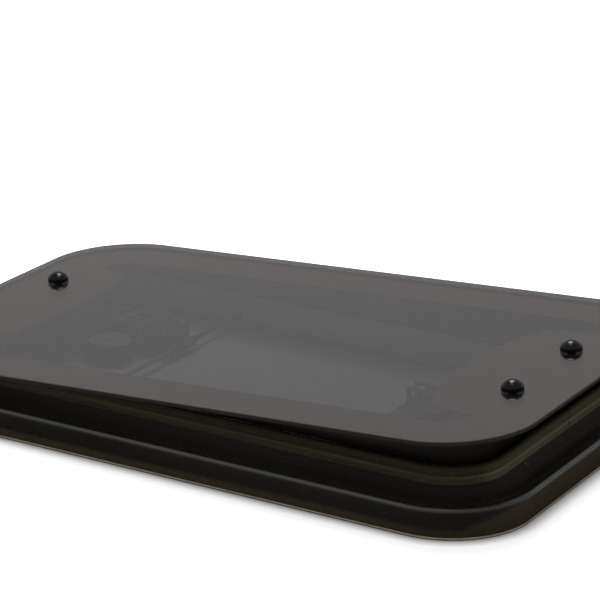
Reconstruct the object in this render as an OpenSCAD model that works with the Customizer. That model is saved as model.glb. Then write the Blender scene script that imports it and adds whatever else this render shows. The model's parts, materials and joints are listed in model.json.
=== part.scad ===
// Electric roof skylight: a tinted glass pane that tilts up on a moulded roof frame.
// Origin: centre of the frame's underside. +X is the free end, +Z is up.

/* [Pane] */
// Length of the glass pane
pane_l = 900; // [840:10:960]
// Width of the glass pane
pane_w = 544; // [520:4:600]
// Outer corner radius of the pane
pane_r = 108; // [90:2:125]
// Thickness of the glass
pane_t = 5; // [4:0.5:6]
// How far the pane's middle lies towards the free end of the frame
pane_x = 3; // [0:0.5:4]
// How far the pane is raised at rest, in degrees from closed
tilt_rest = 3.5; // [2:0.5:4]
// How far the pane opens in all, in degrees from closed
tilt_full = 5.5; // [5:0.5:6]
// Height of the pane's underside above the roof when closed
pane_z = 67.3; // [66:0.5:75]

/* [Frame] */
// How far the foot of the frame stands in from the pane's edge
foot_inset = 4.5; // [3:0.5:8]
// How far the shoulder stands out past the foot
shoulder_out = 6.5; // [5:0.5:8]
// Height of the shoulder
shoulder_z = 41.3; // [38:0.5:44]
// How far the shoulder's rounding reaches inwards
round_in = 9; // [7:0.5:10]
// How far the shoulder's rounding reaches down
round_down = 6; // [5:0.5:7]
// Wall thickness of the moulded frame
wall = 3; // [2:0.5:4]
// Thickness of the sealing tape under the foot
tape_t = 3; // [2:0.5:4]
// Width of the sealing tape
tape_w = 12; // [10:1:16]
// Distance from the foot's edge to the outer face of the upstand
upstand_i = 34; // [32:1:38]
// Thickness of the upstand that carries the seal
upstand_t = 4; // [3:0.5:5]
// Height of the upstand
upstand_z = 60; // [57:0.5:61]
// Width of the inner flange that the drive parts are screwed to
flange_w = 12; // [10:1:16]
// Number of stiffening ribs along each long side
long_ribs = 5; // [3:1:9]
// Number of stiffening ribs along each short side
short_ribs = 3; // [2:1:6]

// Distance from the middle to the outer screws of the long sides
screw_x_far = 300; // [260:10:310]
// Distance from the middle to the inner screws of the long sides
screw_x_near = 100; // [60:10:140]
// Distance from the middle to the screws of the short sides
screw_y_end = 148; // [144:1:150]
// Radius of the screw holes
screw_r = 2.5; // [2:0.25:3]

/* [Seal and liner] */
// Height of the firm lower part of the seal
seal_z = 63; // [62:0.5:64]
// Height of the soft bulb where nothing presses on it
bulb_z = 75; // [71:0.5:77]
// Height to which the closed pane presses the bulb at the free end
press_z = 65.65; // [65.5:0.05:66]
// Thickness of the seal's walls beside the upstand
seal_t = 3; // [2:0.5:4]
// Height of the pale liner on the inside
liner_z = 46; // [36:1:49]
// Thickness of the liner
liner_t = 2.5; // [2:0.5:3]

/* [Skirt] */
// Distance from the foot's edge to the outer face of the pane's skirt
skirt_i = 50.5; // [50:0.5:54]
// Thickness of the skirt
skirt_t = 3; // [2:0.5:4]
// Height of the skirt's lower edge at rest, along the long sides
skirt_low = 69; // [69:0.5:72]
// Height of the skirt's lower edge at rest, across the free end
skirt_end_low = 64.5; // [64.5:0.5:70]

/* [Bolts] */
// Distance from the pane's hinge end to its bolts
hinge_inset = 67; // [66:1:74]
// Distance from the pane's free end to its bolts
lift_inset = 74; // [72:1:80]
// Distance between the two bolts of one end
bolt_gap = 154; // [140:2:180]
// Diameter of a bolt cap
cap_d = 27.5; // [24:0.5:32]
// Height of a bolt cap
cap_h = 13.2; // [11:0.1:14]
// Diameter of the bolts and of the guide pins
bolt_d = 8; // [6:1:8]

/* [Hinge] */
// Distance from the inner face of the frame to the hinge pin
hinge_off = 8.5; // [8:0.5:12]
// Depth of the hinge pin below the pane
hinge_drop = 10.3; // [10:0.1:12]
// Length of a hinge knuckle
knuckle_l = 30; // [24:2:40]
// Thickness of the steel brackets
plate_t = 4; // [3:0.5:5]

/* [Lift] */
// Length of a lift arm between its two pins
arm_l = 190; // [180:5:200]
// Thickness of a lift arm
arm_t = 6; // [4:1:8]
// Width of a lift arm
arm_w = 16; // [14:1:18]
// Height of the guide slot above the roof
slot_z = 23.5; // [22:0.5:25]
// Free height in the guide slot above and below the pin
slot_play = 1.3; // [1:0.1:2]
// Depth of the arm's upper pivot below the pane
pivot_drop = 16.3; // [15:0.1:18]

/* [Drive] */
// Length of the motor housing
motor_l = 166; // [150:2:180]
// Width of the motor housing
motor_w = 61; // [50:1:66]
// Height of the motor housing
motor_h = 26; // [22:1:30]
// Distance from the foot's end to the motor's far end
motor_end = 249; // [235:1:260]
// Sideways place of the motor's middle
motor_y = 88; // [80:1:100]
// Diameter of the round gear housing
drum_d = 64; // [50:2:70]
// Height of the round gear housing
drum_h = 16; // [12:1:20]
// Diameter of the steel drive tubes
tube_d = 6; // [5:0.5:8]
// Bend radius of the drive tubes beside the lift rails
tube_bend = 40; // [30:5:50]

/* [Hidden] */
$fn = 64;

// Frame outline at the foot
foot_l = pane_l - 2 * foot_inset;
foot_w = pane_w - 2 * foot_inset;
foot_r = pane_r - foot_inset;
// Inner face of the frame, measured in from the foot's edge
inner_i = upstand_i + 8;
flange_i = inner_i + flange_w;
flange_top = tape_t + wall;
liner_i = inner_i + liner_t + 0.1;
// Seal section, which straddles the top of the upstand
seal_fit = 0.1;
seal_out_i = upstand_i - seal_t;
seal_in_i = upstand_i + upstand_t + seal_t;
seal_lip_i = upstand_i + upstand_t / 2;
seal_foot_z = upstand_z - 6.4;
inner_top = seal_foot_z - 0.6;
bulb_r = 5;
bulb_neck = 7.2;
// The ledge climbs in a hollow curve from the shoulder to just under the seal
ledge_rise = seal_foot_z - 0.4 - shoulder_z;
// Hinge axis
hinge_x = -foot_l / 2 + inner_i + hinge_off;
hinge_z = pane_z - hinge_drop;
hinge_y = bolt_gap / 2;
pin_r = bolt_d / 2;
knuckle_r = 6.5;
running = 0.06;
// Clearances: beside plates and housings, beside the knuckles, round the bolts
plate_fit = 0.3;
knuckle_fit = 0.75;
bolt_fit = 0.3;
pin_head = 2;
hinge_ear = knuckle_l / 2 + knuckle_fit;
hinge_foot_l = 22;
hinge_foot_w = 8;
// The closed pane comes to rest where it presses the bulb down to its closed height
seat_x = foot_l / 2 - seal_lip_i;
tilt_shut = -atan((pane_z - press_z) / (seat_x - hinge_x));
soft_gap = 0.35;
// Bolts through the pane
hinge_bolt_x = pane_x - pane_l / 2 + hinge_inset;
lift_bolt_x = pane_x + pane_l / 2 - lift_inset;
pad_t = 1.5;
plate_top = pane_z - pad_t;
plate_low = plate_top - plate_t;
hole_r = bolt_d / 2 + 1;
nut_r = 7.5;
nut_h = 6.5;
washer_t = 1;
rim_h = 4.6;
// Pads and bracket plates under the pane: width, length, and reach outwards from the bolt
pad_w = 58;
hinge_pad_l = 50;
hinge_pad_end = 12;
lift_pad_l = 60;
lift_pad_end = 12;
// Upper pivot of the lift arms, in the closed pane's place
pivot_x = lift_bolt_x - 22;
pivot_z = pane_z - pivot_drop;
pivot_r = norm([pivot_x - hinge_x, pivot_z - hinge_z]);
pivot_a = atan2(pivot_z - hinge_z, pivot_x - hinge_x);
function pivot_at(t) = [hinge_x + pivot_r * cos(pivot_a + t), hinge_z + pivot_r * sin(pivot_a + t)];
// Slope of the arm at each end of the travel, where its pin stands highest in the guide slot
pin_lift = 0.75;
function slope_at(t) = asin((pivot_at(t)[1] - slot_z - pin_lift) / arm_l);
arm_ratio = (slope_at(tilt_full) - slope_at(tilt_shut)) / (tilt_full - tilt_shut);
arm_slope = slope_at(tilt_shut) + arm_ratio * (tilt_rest - tilt_shut);
function pin_at(t) = pivot_at(t)
    - arm_l * [cos(slope_at(tilt_shut) + arm_ratio * (t - tilt_shut)),
               sin(slope_at(tilt_shut) + arm_ratio * (t - tilt_shut))];
pin_x_shut = pin_at(tilt_shut)[0];
pin_x_full = pin_at(tilt_full)[0];
arm_gap = 5;
side_fit = 1;
rail_low = 9;
// Drive
base_z = flange_top;
deck_z = base_z + wall;
motor_x = -foot_l / 2 + motor_end;
tube_r = tube_d / 2;
tube_z = deck_z + 5;
tube_x = motor_x + 6;
clip_l = 14;
clip_w = 8;
tube_exit_x = foot_l / 2 - foot_r - clip_l / 2 - 2;
tube_run_i = upstand_i - 10;
tube_hole_r = tube_r + 1.5;
run_bend = 12;
rail_start = pin_x_shut - bolt_d - 2;
rail_step = pin_x_full + bolt_d + 6;
rail_end = tube_exit_x - tube_bend;
cross_rod_at = 0.5;
rail_socket = 8;
rod_end = 1;
// Parts beside the motor: gear housing, end cap, cable block and leads
end_cap_l = 24;
drum_x = motor_x - 66;
drum_y = motor_y - motor_w / 2 - drum_d / 2 - plate_fit;
block_l = 12;
block_w = 44;
block_h = 11;
lead_x = motor_x - 40;
lead_r = 2.2;
lead_bend = 7;
lead_gap = 5.2;
lead_drop = 8;
lead_z = deck_z + motor_h + lead_r;
// Screws in the inner flange
screw_i = inner_i + liner_t + 5;
// Skirt: where it begins, and the lip that meets the glass
skirt_x = -300;
skirt_lip = 4;
skirt_lip_t = 2;
// Border print: widths of its long bands and of its two swollen end zones
print_t = 0.3;
print_gap = 0.02;
band_w = 75.6;
ear_l = 84;
ear_r = 32;
beak_y = 146;
beak_left = 130.5;
apex_left = 149;
beak_right = 144.5;
apex_right = 174;
edge_bevel = 0.8;

echo(hinge = [hinge_x, hinge_z], tilt_shut = tilt_shut, tilt_low = tilt_shut - tilt_rest,
    tilt_high = tilt_full - tilt_rest, pivot_rest = pivot_at(tilt_rest), coupling = arm_ratio - 1,
    slope = [slope_at(tilt_shut), arm_slope, slope_at(tilt_full)],
    pins = [for (t = [tilt_shut:0.5:tilt_full]) pin_at(t)]);

// Points of the frame's outer skin from the foot to the top of the upstand: inset, height
low_wall = [[0, tape_t], [-shoulder_out * 0.12, tape_t + 10], [-shoulder_out * 0.4, shoulder_z - 19],
    [-shoulder_out * 0.75, shoulder_z - round_down - 6],
    [-shoulder_out * 0.95, shoulder_z - round_down - 2]];
rounding = [for (a = [0:15:90])
    [round_in * (1 - cos(a)) - shoulder_out, shoulder_z - round_down * (1 - sin(a))]];
hollow = [for (q = [[0.22, 0.015], [0.4, 0.1], [0.6, 0.27], [0.77, 0.5], [0.9, 0.76], [1, 1]])
    [upstand_i * q[0], shoulder_z + ledge_rise * q[1]]];
skin = concat(low_wall, rounding, hollow, [[upstand_i, upstand_z]]);

// Lengthwise direction of a path at one of its points
function heading(p, k) = let (d = p[min(k + 1, len(p) - 1)] - p[max(k - 1, 0)]) d / norm(d);
// The same path moved sideways by t
function beside(p, t) = [for (k = [0:len(p) - 1]) p[k] + t * [heading(p, k)[1], -heading(p, k)[0]]];

// Rounded rectangle centred on the origin
module plate2d(l, w, r) {
    square([l - 2 * r, w], center = true);
    square([l, w - 2 * r], center = true);
    for (x = [-1, 1], y = [-1, 1])
        translate([x * (l / 2 - r), y * (w / 2 - r)]) circle(r);
}

// A section drawn as (inset, height), carried round a rounded rectangle
module ring(l, w, r) {
    for (s = [0, 180]) {
        rotate(s) translate([0, -w / 2]) rotate([90, 0, 90])
            linear_extrude(l - 2 * r, center = true) children();
        rotate(s + 90) translate([0, -l / 2]) rotate([90, 0, 90])
            linear_extrude(w - 2 * r, center = true) children();
    }
    for (x = [-1, 1], y = [-1, 1])
        translate([x * (l / 2 - r), y * (w / 2 - r)])
            rotate(x > 0 ? (y > 0 ? 0 : -90) : (y > 0 ? 90 : 180))
                rotate_extrude(angle = 90, $fn = 96) translate([r, 0]) mirror([1, 0]) children();
}

module foot_ring() {
    ring(foot_l, foot_w, foot_r) children();
}

// Raises what is drawn in the closed pane's place to the rest pose
module lid_pose() {
    translate([hinge_x, 0, hinge_z]) rotate([0, -tilt_rest, 0])
        translate([-hinge_x, 0, -hinge_z]) children();
}

// Cylinder along Y, centred on y = 0
module rod_y(r, l) {
    rotate([90, 0, 0]) cylinder(r = r, h = l, center = true);
}

// Extrudes an outline drawn in the XZ plane, centred on y = 0
module slab_y(t) {
    rotate([90, 0, 0]) linear_extrude(t, center = true) children();
}

module sealing_tape() {
    color([0.52, 0.48, 0.4])
        foot_ring() square([tape_w, tape_t]);
}

// Section of the space that a wall of thickness t leaves under the frame's skin
module cavity2d(t) {
    inner = beside(skin, t);
    roof = [for (k = [1:len(inner) - 1]) if (inner[k][1] < inner_top - t && inner[k][0] < inner_i - t
        && min([for (q = skin) norm(q - inner[k])]) > 0.98 * t) inner[k]];
    polygon(concat([[t, tape_t - 1]], roof,
        [[inner_i - t, inner_top - t], [inner_i - t, tape_t - 1]]));
}

module frame2d() {
    difference() {
        union() {
            polygon(concat(skin, [[upstand_i + upstand_t, upstand_z],
                [upstand_i + upstand_t, inner_top], [inner_i, inner_top], [inner_i, tape_t]]));
            translate([inner_i - 1, tape_t]) square([flange_w + 1, wall]);
        }
        difference() {
            cavity2d(wall);
            translate([0, tape_t - 2]) square([tape_w, wall + 2]);
        }
    }
}

// Both long sides' tube openings through the inner wall and the liner
module tube_holes() {
    for (x = [tube_x, tube_exit_x], s = [-1, 1])
        translate([x, s * (foot_w / 2 - inner_i), tube_z]) rod_y(tube_hole_r, 14);
}

// Screw holes in the inner flange, in three rectangles of four
screw_places = [for (x = [-1, 1], y = [-1, 1], q = [
    [screw_x_far, foot_w / 2 - screw_i], [screw_x_near, foot_w / 2 - screw_i],
    [foot_l / 2 - screw_i, screw_y_end]]) [x * q[0], y * q[1]]];

module rib(t) {
    rotate([90, 0, 90]) linear_extrude(t, center = true) difference() {
        intersection() {
            cavity2d(wall / 2);
            translate([0, flange_top - wall / 2]) square([inner_i, shoulder_z]);
        }
        translate([tube_run_i, tube_z]) circle(tube_r + 3, $fn = 32);
        translate([tube_run_i - tube_r - 3, 0]) square([2 * tube_r + 6, tube_z]);
    }
}

module outer_frame() {
    long_step = (foot_l - 2 * foot_r) / long_ribs;
    short_step = (foot_w - 2 * foot_r) / short_ribs;
    color([0.07, 0.07, 0.075]) {
        difference() {
            foot_ring() frame2d();
            tube_holes();
            for (p = screw_places) translate([p[0], p[1], 0]) cylinder(r = screw_r, h = 20, $fn = 32);
        }
        for (s = [0, 180]) {
            rotate(s) for (k = [0:long_ribs - 1])
                translate([(k + 0.5) * long_step - foot_l / 2 + foot_r, -foot_w / 2]) rib(2);
            rotate(s + 90) for (k = [0:short_ribs - 1])
                translate([(k + 0.5) * short_step - foot_w / 2 + foot_r, -foot_l / 2]) rib(2);
        }
    }
}

module inner_liner() {
    color([0.75, 0.75, 0.74]) difference() {
        foot_ring() polygon([[inner_i + 0.1, flange_top], [liner_i, flange_top],
            [liner_i, liner_z - 2], [liner_i - 0.7, liner_z - 0.5], [inner_i + 0.9, liner_z],
            [inner_i + 0.1, liner_z]]);
        tube_holes();
    }
}

// Firm rubber profile pushed over the upstand, with fine lips on its outer face
module seal2d() {
    lips = 4;
    rise = (seal_z - 2.6 - seal_foot_z) / lips;
    outer = [for (k = [0:lips - 1], q = [[0, 0.35], [0.3, 0], [0.8, 0]])
        [seal_out_i + 0.2 * k + q[1], seal_foot_z + (k + q[0]) * rise]];
    difference() {
        polygon(concat(outer, [[seal_out_i + 1.2, seal_z - 2.4], [seal_lip_i - bulb_neck / 2, seal_z],
            [seal_lip_i + bulb_neck / 2, seal_z], [seal_in_i - 0.4, seal_z - 2],
            [seal_in_i, seal_z - 4], [seal_in_i, seal_foot_z]]));
        translate([upstand_i - seal_fit, 0])
            square([upstand_t + 2 * seal_fit, upstand_z + seal_fit]);
    }
}

// Gap where the seal's two ends meet
module seal_joint() {
    slit = 0.4;
    translate([foot_l / 2 - upstand_i, 0, seal_z]) cube([8 * seal_t, slit, seal_z], center = true);
}

module rim_seal() {
    color([0.17, 0.155, 0.115]) difference() {
        foot_ring() seal2d();
        seal_joint();
    }
}

// Soft bulb on the seal, pressed flat where the pane lies on it at rest
module seal_bulb() {
    color([0.15, 0.135, 0.1]) difference() {
        foot_ring() {
            translate([seal_lip_i, bulb_z - bulb_r]) circle(bulb_r, $fn = 40);
            translate([seal_lip_i - bulb_neck / 2, seal_z + 0.05])
                square([bulb_neck, bulb_z - bulb_r - seal_z]);
        }
        seal_joint();
        lid_pose() translate([-foot_l, -foot_w, pane_z - print_t - soft_gap])
            cube([2 * foot_l, 2 * foot_w, 60]);
    }
}

module hinge_bracket(y) {
    ear = hinge_ear;
    side = ear + plate_t + hinge_foot_w;
    back_x = -foot_l / 2 + liner_i + plate_fit;
    front_x = hinge_x + hinge_foot_l;
    color([0.12, 0.12, 0.125]) translate([0, y, 0]) difference() {
        union() {
            translate([back_x, -side, base_z]) cube([front_x - back_x, 2 * side, wall]);
            for (s = [-1, 1]) translate([0, s * (ear + plate_t / 2), 0]) slab_y(plate_t) {
                polygon([[back_x, base_z], [front_x - 2, base_z], [front_x - 2, base_z + 10],
                    [hinge_x + 6, hinge_z - 4], [hinge_x - 6, hinge_z - 4], [back_x, hinge_z - 14]]);
                translate([hinge_x, hinge_z]) circle(knuckle_r);
            }
        }
        translate([hinge_x, 0, hinge_z]) rod_y(pin_r, 80);
        for (s = [-1, 1]) translate([front_x - hinge_foot_w, s * (side - hinge_foot_w / 2), 0])
            cylinder(r = 2.2, h = 40, $fn = 32);
    }
}

module hinge_pin(y) {
    half = hinge_ear + plate_t;
    color([0.6, 0.6, 0.62]) translate([hinge_x, y, hinge_z]) {
        rod_y(pin_r, 2 * half);
        for (s = [-1, 1]) translate([0, s * (half + pin_head / 2), 0]) rod_y(pin_r + 1.5, pin_head);
    }
}

// Sheet plate under the motor, with a tongue beside the hinge that rests on the flange
module motor_bracket() {
    tongue_w = 32;
    tongue_h = 18;
    arm = 28;
    back_x = -foot_l / 2 + liner_i;
    start_x = hinge_x + hinge_foot_l + plate_fit;
    tongue_y = hinge_y + hinge_ear + plate_t + hinge_foot_w + 0.5;
    low_y = motor_y - motor_w / 2 + 6;
    color([0.55, 0.56, 0.58]) {
        translate([start_x, low_y, base_z])
            cube([motor_x - 20 - start_x, tongue_y + tongue_w - low_y, wall]);
        translate([back_x + plate_fit, tongue_y, base_z]) {
            cube([start_x + 2 - back_x, tongue_w, wall]);
            cube([wall, tongue_w, tongue_h]);
        }
        translate([drum_x - arm / 2, drum_y - arm / 2, base_z])
            cube([arm, low_y - drum_y + arm / 2 + 2, wall]);
    }
}

// Block with rounded upright edges and a stepped, narrower top
module moulded_block(l, w, h, r) {
    linear_extrude(h - 3) plate2d(l, w, r);
    linear_extrude(h) plate2d(l - 5, w - 5, r - 2);
}

module motor_housing() {
    body_l = motor_l - end_cap_l;
    color([0.09, 0.09, 0.095]) difference() {
        translate([motor_x - body_l / 2, motor_y, deck_z]) moulded_block(body_l, motor_w, motor_h, 8);
        for (k = [0:4]) translate([motor_x - body_l + 18 + k * 9, motor_y - 18, deck_z + motor_h - 1.2])
            cube([3, 36, 4]);
    }
}

module motor_end_cap() {
    cap_l = end_cap_l - plate_fit;
    color([0.14, 0.14, 0.145])
        translate([motor_x - motor_l + cap_l / 2, motor_y, deck_z + 2])
            moulded_block(cap_l, motor_w - 8, motor_h - 5, 6);
}

module gear_housing() {
    color([0.1, 0.1, 0.105]) translate([drum_x, drum_y, deck_z]) {
        cylinder(r = drum_d / 2, h = drum_h);
        cylinder(r = drum_d / 2 - 2, h = drum_h + 1.5);
        for (a = [210, 330]) rotate(a) translate([drum_d / 2 + 2, 0, 0]) difference() {
            translate([-5, 0, 2.5]) cube([14, 12, 5], center = true);
            cylinder(r = 2.2, h = 20, center = true, $fn = 32);
        }
    }
}

module gear_cover() {
    color([0.72, 0.72, 0.7]) translate([drum_x, drum_y, deck_z + drum_h + 1.5]) {
        cylinder(r = drum_d / 2 - 4, h = 1.5);
        cylinder(r = 9, h = 3.5);
    }
}

module cable_block() {
    color([0.13, 0.13, 0.135]) difference() {
        translate([motor_x + 0.2, motor_y - block_w / 2, deck_z]) cube([block_l, block_w, block_h]);
        translate([tube_x, motor_y, tube_z]) rod_y(tube_r, block_w + 16);
    }
}

module lead_socket() {
    color([0.55, 0.42, 0.28]) translate([lead_x - 34, motor_y - 4, deck_z + motor_h]) {
        translate([-13, -8, 0]) cube([26, 16, 6]);
        translate([-9, -5, 0]) cube([18, 10, 9]);
    }
}

// Lead lying across the motor, bent down at both ends, with its free end beside the housing
module lead(x) {
    bend = lead_bend;
    y0 = motor_y - motor_w / 2 - 0.4 - lead_r + bend;
    y1 = motor_y + motor_w / 2 - 4;
    translate([x, (y0 + y1) / 2, lead_z]) rod_y(lead_r, y1 - y0);
    for (s = [[y0, 180], [y1, 0]])
        translate([x, s[0], lead_z - bend]) rotate([0, 0, s[1]]) rotate([90, 0, 90])
            rotate_extrude(angle = 90, $fn = 48) translate([bend, 0]) circle(lead_r, $fn = 24);
    translate([x, y0 - bend, lead_z - bend - lead_drop])
        cylinder(r = lead_r, h = lead_drop, $fn = 24);
}

module red_lead() {
    color([0.62, 0.1, 0.08]) lead(lead_x);
}

module black_lead() {
    color([0.06, 0.06, 0.06]) lead(lead_x + lead_gap);
}

// Quarter bend of the drive tube from +X round to +Y, starting at the origin
module tube_elbow(r) {
    translate([0, r, 0]) rotate(-90) rotate_extrude(angle = 90, $fn = 64)
        translate([r, 0]) circle(tube_r, $fn = 32);
}

// Steel tube from the cable block through the hollow frame side to the lift rail, drawn on the
// front side; start is how far from the middle it leaves the block
module drive_tube(start) {
    run_y = -foot_w / 2 + tube_run_i;
    color([0.3, 0.3, 0.32]) translate([0, 0, tube_z]) {
        translate([tube_x, (start + run_y + run_bend) / 2, 0]) rod_y(tube_r, start - run_y - run_bend);
        translate([tube_x, run_y + run_bend, 0]) mirror([0, 1, 0]) rotate(90) mirror([0, 1, 0])
            tube_elbow(run_bend);
        translate([tube_x + run_bend, run_y, 0]) rotate([0, 90, 0])
            cylinder(r = tube_r, h = tube_exit_x - tube_x - 2 * run_bend);
        translate([tube_exit_x - run_bend, run_y, 0]) tube_elbow(run_bend);
        translate([tube_exit_x, (run_y + run_bend - hinge_y - tube_bend) / 2, 0])
            rod_y(tube_r, -hinge_y - tube_bend - run_y - run_bend);
        translate([tube_exit_x, -hinge_y - tube_bend, 0]) rotate(90) tube_elbow(tube_bend);
        translate([rail_end - rail_socket, -hinge_y, 0]) rotate([0, 90, 0])
            cylinder(r = tube_r, h = rail_socket);
    }
}

module tube_clips() {
    color([0.2, 0.2, 0.21]) for (s = [-1, 1], x = [tube_x, tube_exit_x])
        translate([x, s * (foot_w / 2 - liner_i - clip_w / 2 - 0.2), 0]) difference() {
            translate([-clip_l / 2, -clip_w / 2, base_z])
                cube([clip_l, clip_w, tube_z - base_z + tube_r + 1]);
            translate([0, 0, tube_z]) rod_y(tube_r, 20);
        }
}

module lift_base() {
    end_x = foot_l / 2 - liner_i - plate_fit;
    side = 20;
    color([0.5, 0.51, 0.53]) translate([rail_start - 4, -hinge_y - side, base_z])
        cube([end_x - rail_start + 4, 2 * (hinge_y + side), wall]);
}

// Guide rail with two slotted cheeks for the arm's pin and an end block that takes the tube
module guide_rail(y) {
    cheek = arm_t / 2 + arm_gap;
    block = 14;
    top = slot_z + pin_r + slot_play + 4;
    color([0.42, 0.43, 0.45]) translate([0, y, 0]) difference() {
        union() {
            for (s = [-1, 1]) translate([0, s * (cheek + plate_t / 2), 0]) slab_y(plate_t)
                polygon([[rail_start, deck_z], [rail_end, deck_z], [rail_end, deck_z + rail_low],
                    [rail_step + 8, deck_z + rail_low], [rail_step, top], [rail_start, top]]);
            translate([rail_end - block, -cheek - 1, deck_z])
                cube([block, 2 * cheek + 2, rail_low]);
        }
        for (s = [-1, 1]) translate([0, s * (cheek + plate_t / 2), 0]) slab_y(plate_t + 2) {
            translate([pin_x_shut, slot_z - pin_r - slot_play])
                square([pin_x_full - pin_x_shut, bolt_d + 2 * slot_play]);
            for (x = [pin_x_shut, pin_x_full]) translate([x, slot_z]) circle(pin_r + slot_play);
        }
        translate([rail_end - rail_socket, 0, tube_z]) rotate([0, 90, 0])
            cylinder(r = tube_r, h = 20);
    }
}

// Raises what is drawn round the closed pane's middle
module pane_pose() {
    lid_pose() translate([pane_x, 0, 0]) children();
}

// Places of the four bolts, seen from the pane's middle
module bolt_places() {
    for (x = [hinge_inset - pane_l / 2, pane_l / 2 - lift_inset], y = [-1, 1])
        translate([x, y * hinge_y, 0]) children();
}

module glass_pane() {
    color([0.3, 0.31, 0.31, 0.6]) pane_pose() difference() {
        translate([0, 0, pane_z]) {
            ring(pane_l, pane_w, pane_r) polygon([[edge_bevel, 0], [pane_r, 0], [pane_r, pane_t],
                [edge_bevel, pane_t], [0, pane_t - edge_bevel], [0, edge_bevel]]);
            translate([-pane_l / 2 + pane_r, -pane_w / 2 + pane_r])
                cube([pane_l - 2 * pane_r, pane_w - 2 * pane_r, pane_t]);
        }
        bolt_places() cylinder(r = hole_r, h = pane_z + pane_t + 10);
    }
}

// End zone of the print: its inner edge is an arc through the two beaks and the apex
module swollen_end(beak, apex) {
    sag = apex - beak;
    r = (beak_y * beak_y + sag * sag) / (2 * sag);
    half = asin(beak_y / r);
    steps = 16;
    arc = [for (k = [0:steps]) let (a = -half + 2 * half * k / steps)
        [apex - r + r * cos(a), r * sin(a)]];
    translate([-pane_l / 2, 0]) polygon(concat([[0, -beak_y - 19], [ear_l, -beak_y - 16]], arc,
        [[ear_l, beak_y + 16], [0, beak_y + 19]]));
}

module window2d() {
    difference() {
        plate2d(pane_l - 2 * ear_l, pane_w - 2 * band_w, ear_r);
        swollen_end(beak_left, apex_left);
        mirror([1, 0]) swollen_end(beak_right, apex_right);
    }
}

module printed_border() {
    rim = 2;
    color([0.2, 0.19, 0.19]) pane_pose() translate([0, 0, pane_z - print_t])
        linear_extrude(print_t - print_gap) difference() {
            plate2d(pane_l - 2 * rim, pane_w - 2 * rim, pane_r - rim);
            window2d();
            bolt_places() circle(hole_r);
        }
}

// Moulded skirt under the pane that closes the raised gap on three sides; its lower edge is
// level at rest and steps down past the lift at the free end
module pane_skirt() {
    top = pane_z - print_t;
    end_x = foot_l / 2 - foot_r;
    color([0.05, 0.05, 0.055]) difference() {
        lid_pose() foot_ring() {
            translate([skirt_i, 0]) square([skirt_t, top]);
            translate([skirt_i - skirt_lip, top - skirt_lip_t]) square([skirt_lip + 1, skirt_lip_t]);
        }
        slab_y(pane_w) polygon([[-pane_l, -pane_z], [pane_l, -pane_z], [pane_l, skirt_end_low],
            [end_x + 12, skirt_end_low], [end_x - 2, skirt_low], [-pane_l, skirt_low]]);
        translate([-pane_l, -pane_w / 2, 0]) cube([pane_l + skirt_x, pane_w, 2 * pane_z]);
    }
}

// Rubber pads between the brackets and the glass, reaching inboard from the bolts
module bolt_pads() {
    color([0.05, 0.05, 0.05]) lid_pose() for (y = [-1, 1], s = [
        [hinge_bolt_x, hinge_pad_l / 2 - hinge_pad_end, hinge_pad_l],
        [lift_bolt_x, lift_pad_end - lift_pad_l / 2, lift_pad_l]])
        translate([s[0], y * hinge_y, plate_top]) linear_extrude(pad_t - print_t) difference() {
            translate([s[1], 0]) plate2d(s[2], pad_w, 6);
            circle(hole_r);
        }
}

// Domed cap on its washer, drawn as half a section from the glass up
module cap2d() {
    r = cap_d / 2;
    sag = cap_h - rim_h;
    dome_r = (r * r + sag * sag) / (2 * sag);
    square([r - 2, washer_t]);
    translate([0, washer_t / 2]) intersection() {
        square([r, cap_h - washer_t / 2]);
        translate([0, cap_h - washer_t / 2 - dome_r]) circle(dome_r, $fn = 96);
    }
}

// Bolt with its domed cap on the pane and its nut under the bracket
module bolt_cap(x, y) {
    low = plate_low - nut_h;
    color([0.04, 0.04, 0.04]) lid_pose() translate([x, y, 0]) {
        translate([0, 0, pane_z + pane_t]) rotate_extrude() cap2d();
        translate([0, 0, low - 2]) cylinder(r = pin_r, h = pane_z + pane_t + 1 - low + 2);
        translate([0, 0, low]) cylinder(r = nut_r, h = nut_h, $fn = 6);
    }
}

module hinge_arm(y) {
    wide_x = hinge_x + 12;
    end_x = hinge_bolt_x + hinge_pad_l - hinge_pad_end;
    narrow = knuckle_l - 1;
    color([0.13, 0.13, 0.135]) lid_pose() translate([0, y, 0]) difference() {
        union() {
            translate([(wide_x + end_x) / 2, 0, plate_low]) linear_extrude(plate_t)
                plate2d(end_x - wide_x, pad_w, 6);
            translate([hinge_x - 1, -narrow / 2, plate_low])
                cube([wide_x - hinge_x + 8, narrow, plate_t]);
            translate([hinge_x, 0, hinge_z]) rod_y(knuckle_r, knuckle_l);
        }
        translate([hinge_x, 0, hinge_z]) rod_y(pin_r + running, knuckle_l + 2);
        translate([hinge_bolt_x, 0, 0]) cylinder(r = pin_r + bolt_fit, h = pane_z);
    }
}

module lift_bracket(y) {
    ear = arm_t / 2 + side_fit;
    boss_r = 7;
    foot_z = plate_low + 1;
    color([0.13, 0.13, 0.135]) lid_pose() translate([0, y, 0]) difference() {
        union() {
            translate([lift_bolt_x + lift_pad_end - lift_pad_l / 2, 0, plate_low])
                linear_extrude(plate_t) plate2d(lift_pad_l, pad_w, 6);
            for (s = [-1, 1]) translate([0, s * (ear + plate_t / 2), 0]) slab_y(plate_t) {
                polygon([[pivot_x - 19, foot_z], [pivot_x - boss_r, pivot_z],
                    [pivot_x + boss_r, pivot_z], [pivot_x + 13, foot_z]]);
                translate([pivot_x, pivot_z]) circle(boss_r);
            }
        }
        translate([pivot_x, 0, pivot_z]) rod_y(pin_r, 40);
        translate([lift_bolt_x, 0, 0]) cylinder(r = pin_r + bolt_fit, h = pane_z);
    }
}

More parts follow.
